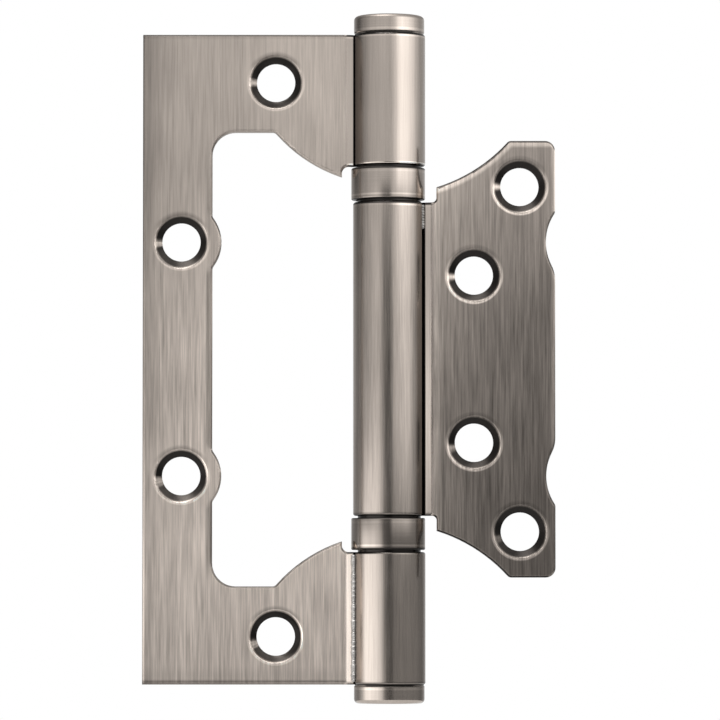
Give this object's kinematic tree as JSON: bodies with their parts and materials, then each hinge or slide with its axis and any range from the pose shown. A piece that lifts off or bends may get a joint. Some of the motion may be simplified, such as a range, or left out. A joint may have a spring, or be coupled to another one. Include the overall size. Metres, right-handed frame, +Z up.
{
  "type": "flush door hinge with ball bearings",
  "caption": "Flush butterfly door hinge: a small leaf swings on a ball-bearing pin and nests in the window of a large leaf, both countersunk for screws.",
  "frame": {"origin": "on the pin axis, half way up the middle knuckle and half way through the sheet of both opened leaves", "axes": "+Z up along the pin, +X from the pin towards the small inner leaf as it lies opened, +Y out of the backs of the leaves, so the countersunk faces look along -Y"},
  "size_m": [0.0793, 0.0142, 0.1322],
  "materials": {
    "outer_leaf": "antique nickel plate, brushed along the height",
    "inner_leaf": "antique nickel plate, brushed along the height",
    "cap": "antique nickel plate, turned",
    "bearing_shell": "antique nickel plate, turned",
    "pin": "ground bright steel",
    "bearing_steel": "polished bearing steel"
  },
  "bodies": {
    "outer_side": {"outer_leaf": "outer_leaf", "hinge_pin": "pin", "top_cap": "cap", "bottom_cap": "cap", "upper_bearing_shell": "bearing_shell", "upper_bearing_fixed_race": "bearing_steel", "lower_bearing_shell": "bearing_shell", "lower_bearing_fixed_race": "bearing_steel"},
    "inner_side": {"inner_leaf": "inner_leaf", "upper_bearing_turning_race": "bearing_steel", "lower_bearing_turning_race": "bearing_steel"},
    "upper_balls": {"upper_ball_01": "bearing_steel", "upper_ball_02": "bearing_steel", "upper_ball_03": "bearing_steel", "upper_ball_04": "bearing_steel", "upper_ball_05": "bearing_steel", "upper_ball_06": "bearing_steel", "upper_ball_07": "bearing_steel", "upper_ball_08": "bearing_steel", "upper_ball_09": "bearing_steel", "upper_ball_10": "bearing_steel", "upper_ball_11": "bearing_steel", "upper_ball_12": "bearing_steel", "upper_ball_13": "bearing_steel", "upper_ball_14": "bearing_steel", "upper_ball_15": "bearing_steel", "upper_ball_16": "bearing_steel"},
    "lower_balls": {"lower_ball_01": "bearing_steel", "lower_ball_02": "bearing_steel", "lower_ball_03": "bearing_steel", "lower_ball_04": "bearing_steel", "lower_ball_05": "bearing_steel", "lower_ball_06": "bearing_steel", "lower_ball_07": "bearing_steel", "lower_ball_08": "bearing_steel", "lower_ball_09": "bearing_steel", "lower_ball_10": "bearing_steel", "lower_ball_11": "bearing_steel", "lower_ball_12": "bearing_steel", "lower_ball_13": "bearing_steel", "lower_ball_14": "bearing_steel", "lower_ball_15": "bearing_steel", "lower_ball_16": "bearing_steel"}
  },
  "joints": [
    {"name": "leaf_swing", "type": "hinge", "parent": "outer_side", "child": "inner_side", "pos_m": [0, 0, 0], "axis": [0, 0, -1], "range_deg": [0, 180]},
    {"name": "upper_ball_orbit", "type": "hinge", "parent": "outer_side", "child": "upper_balls", "pos_m": [0, 0, 0.0337], "axis": [0, 0, -1], "range_deg": [0, 90]},
    {"name": "lower_ball_orbit", "type": "hinge", "parent": "outer_side", "child": "lower_balls", "pos_m": [0, 0, -0.0337], "axis": [0, 0, -1], "range_deg": [0, 90]}
  ],
  "couplings": [
    {"joint": "upper_ball_orbit", "follows": "leaf_swing", "ratio": 0.5},
    {"joint": "lower_ball_orbit", "follows": "leaf_swing", "ratio": 0.5}
  ]
}
